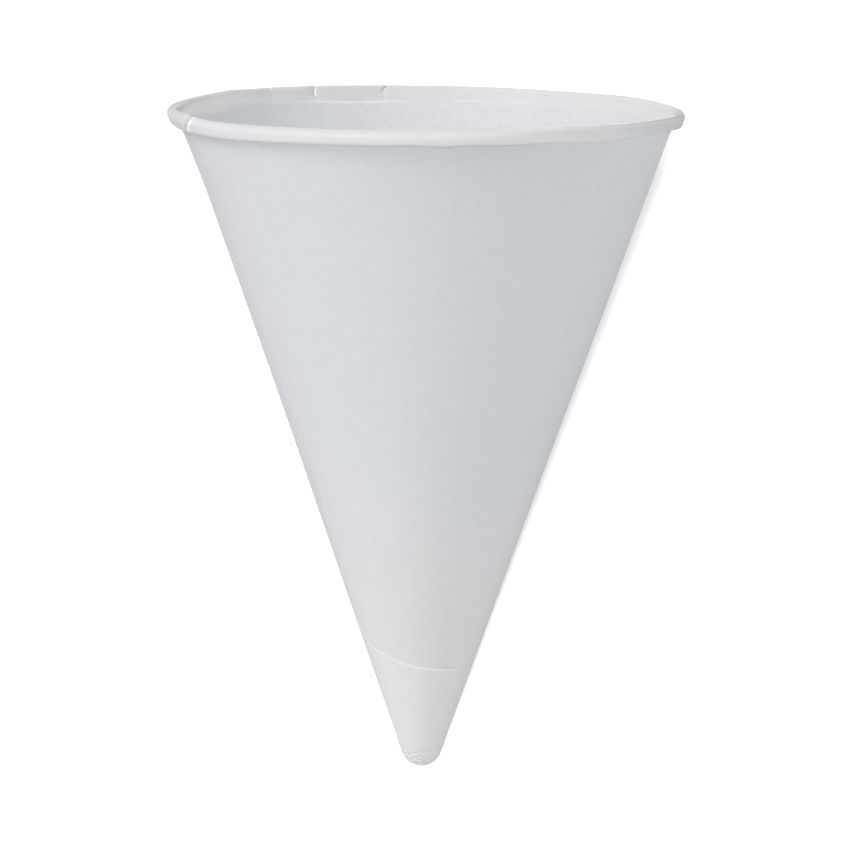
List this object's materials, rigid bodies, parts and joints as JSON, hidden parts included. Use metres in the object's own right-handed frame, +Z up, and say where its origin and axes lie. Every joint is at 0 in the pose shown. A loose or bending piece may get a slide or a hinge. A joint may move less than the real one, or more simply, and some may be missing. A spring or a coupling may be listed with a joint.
{
  "type": "cone paper cup",
  "caption": "Conical paper drinking cup wound from one paper blank, with a rolled rim and a pressed, rounded tip; shown lying on its side with the mouth open.",
  "frame": {"origin": "middle of the bounding box on the surface that the cup lies on", "axes": "+Y from the tip towards the mouth, level; +Z up; +X to the right as the cup is seen from above with its tip towards the viewer"},
  "size_m": [0.075, 0.1032, 0.0701],
  "materials": {
    "paper": "matte"
  },
  "bodies": {
    "root": {"cone_cup": "paper"}
  },
  "joints": []
}
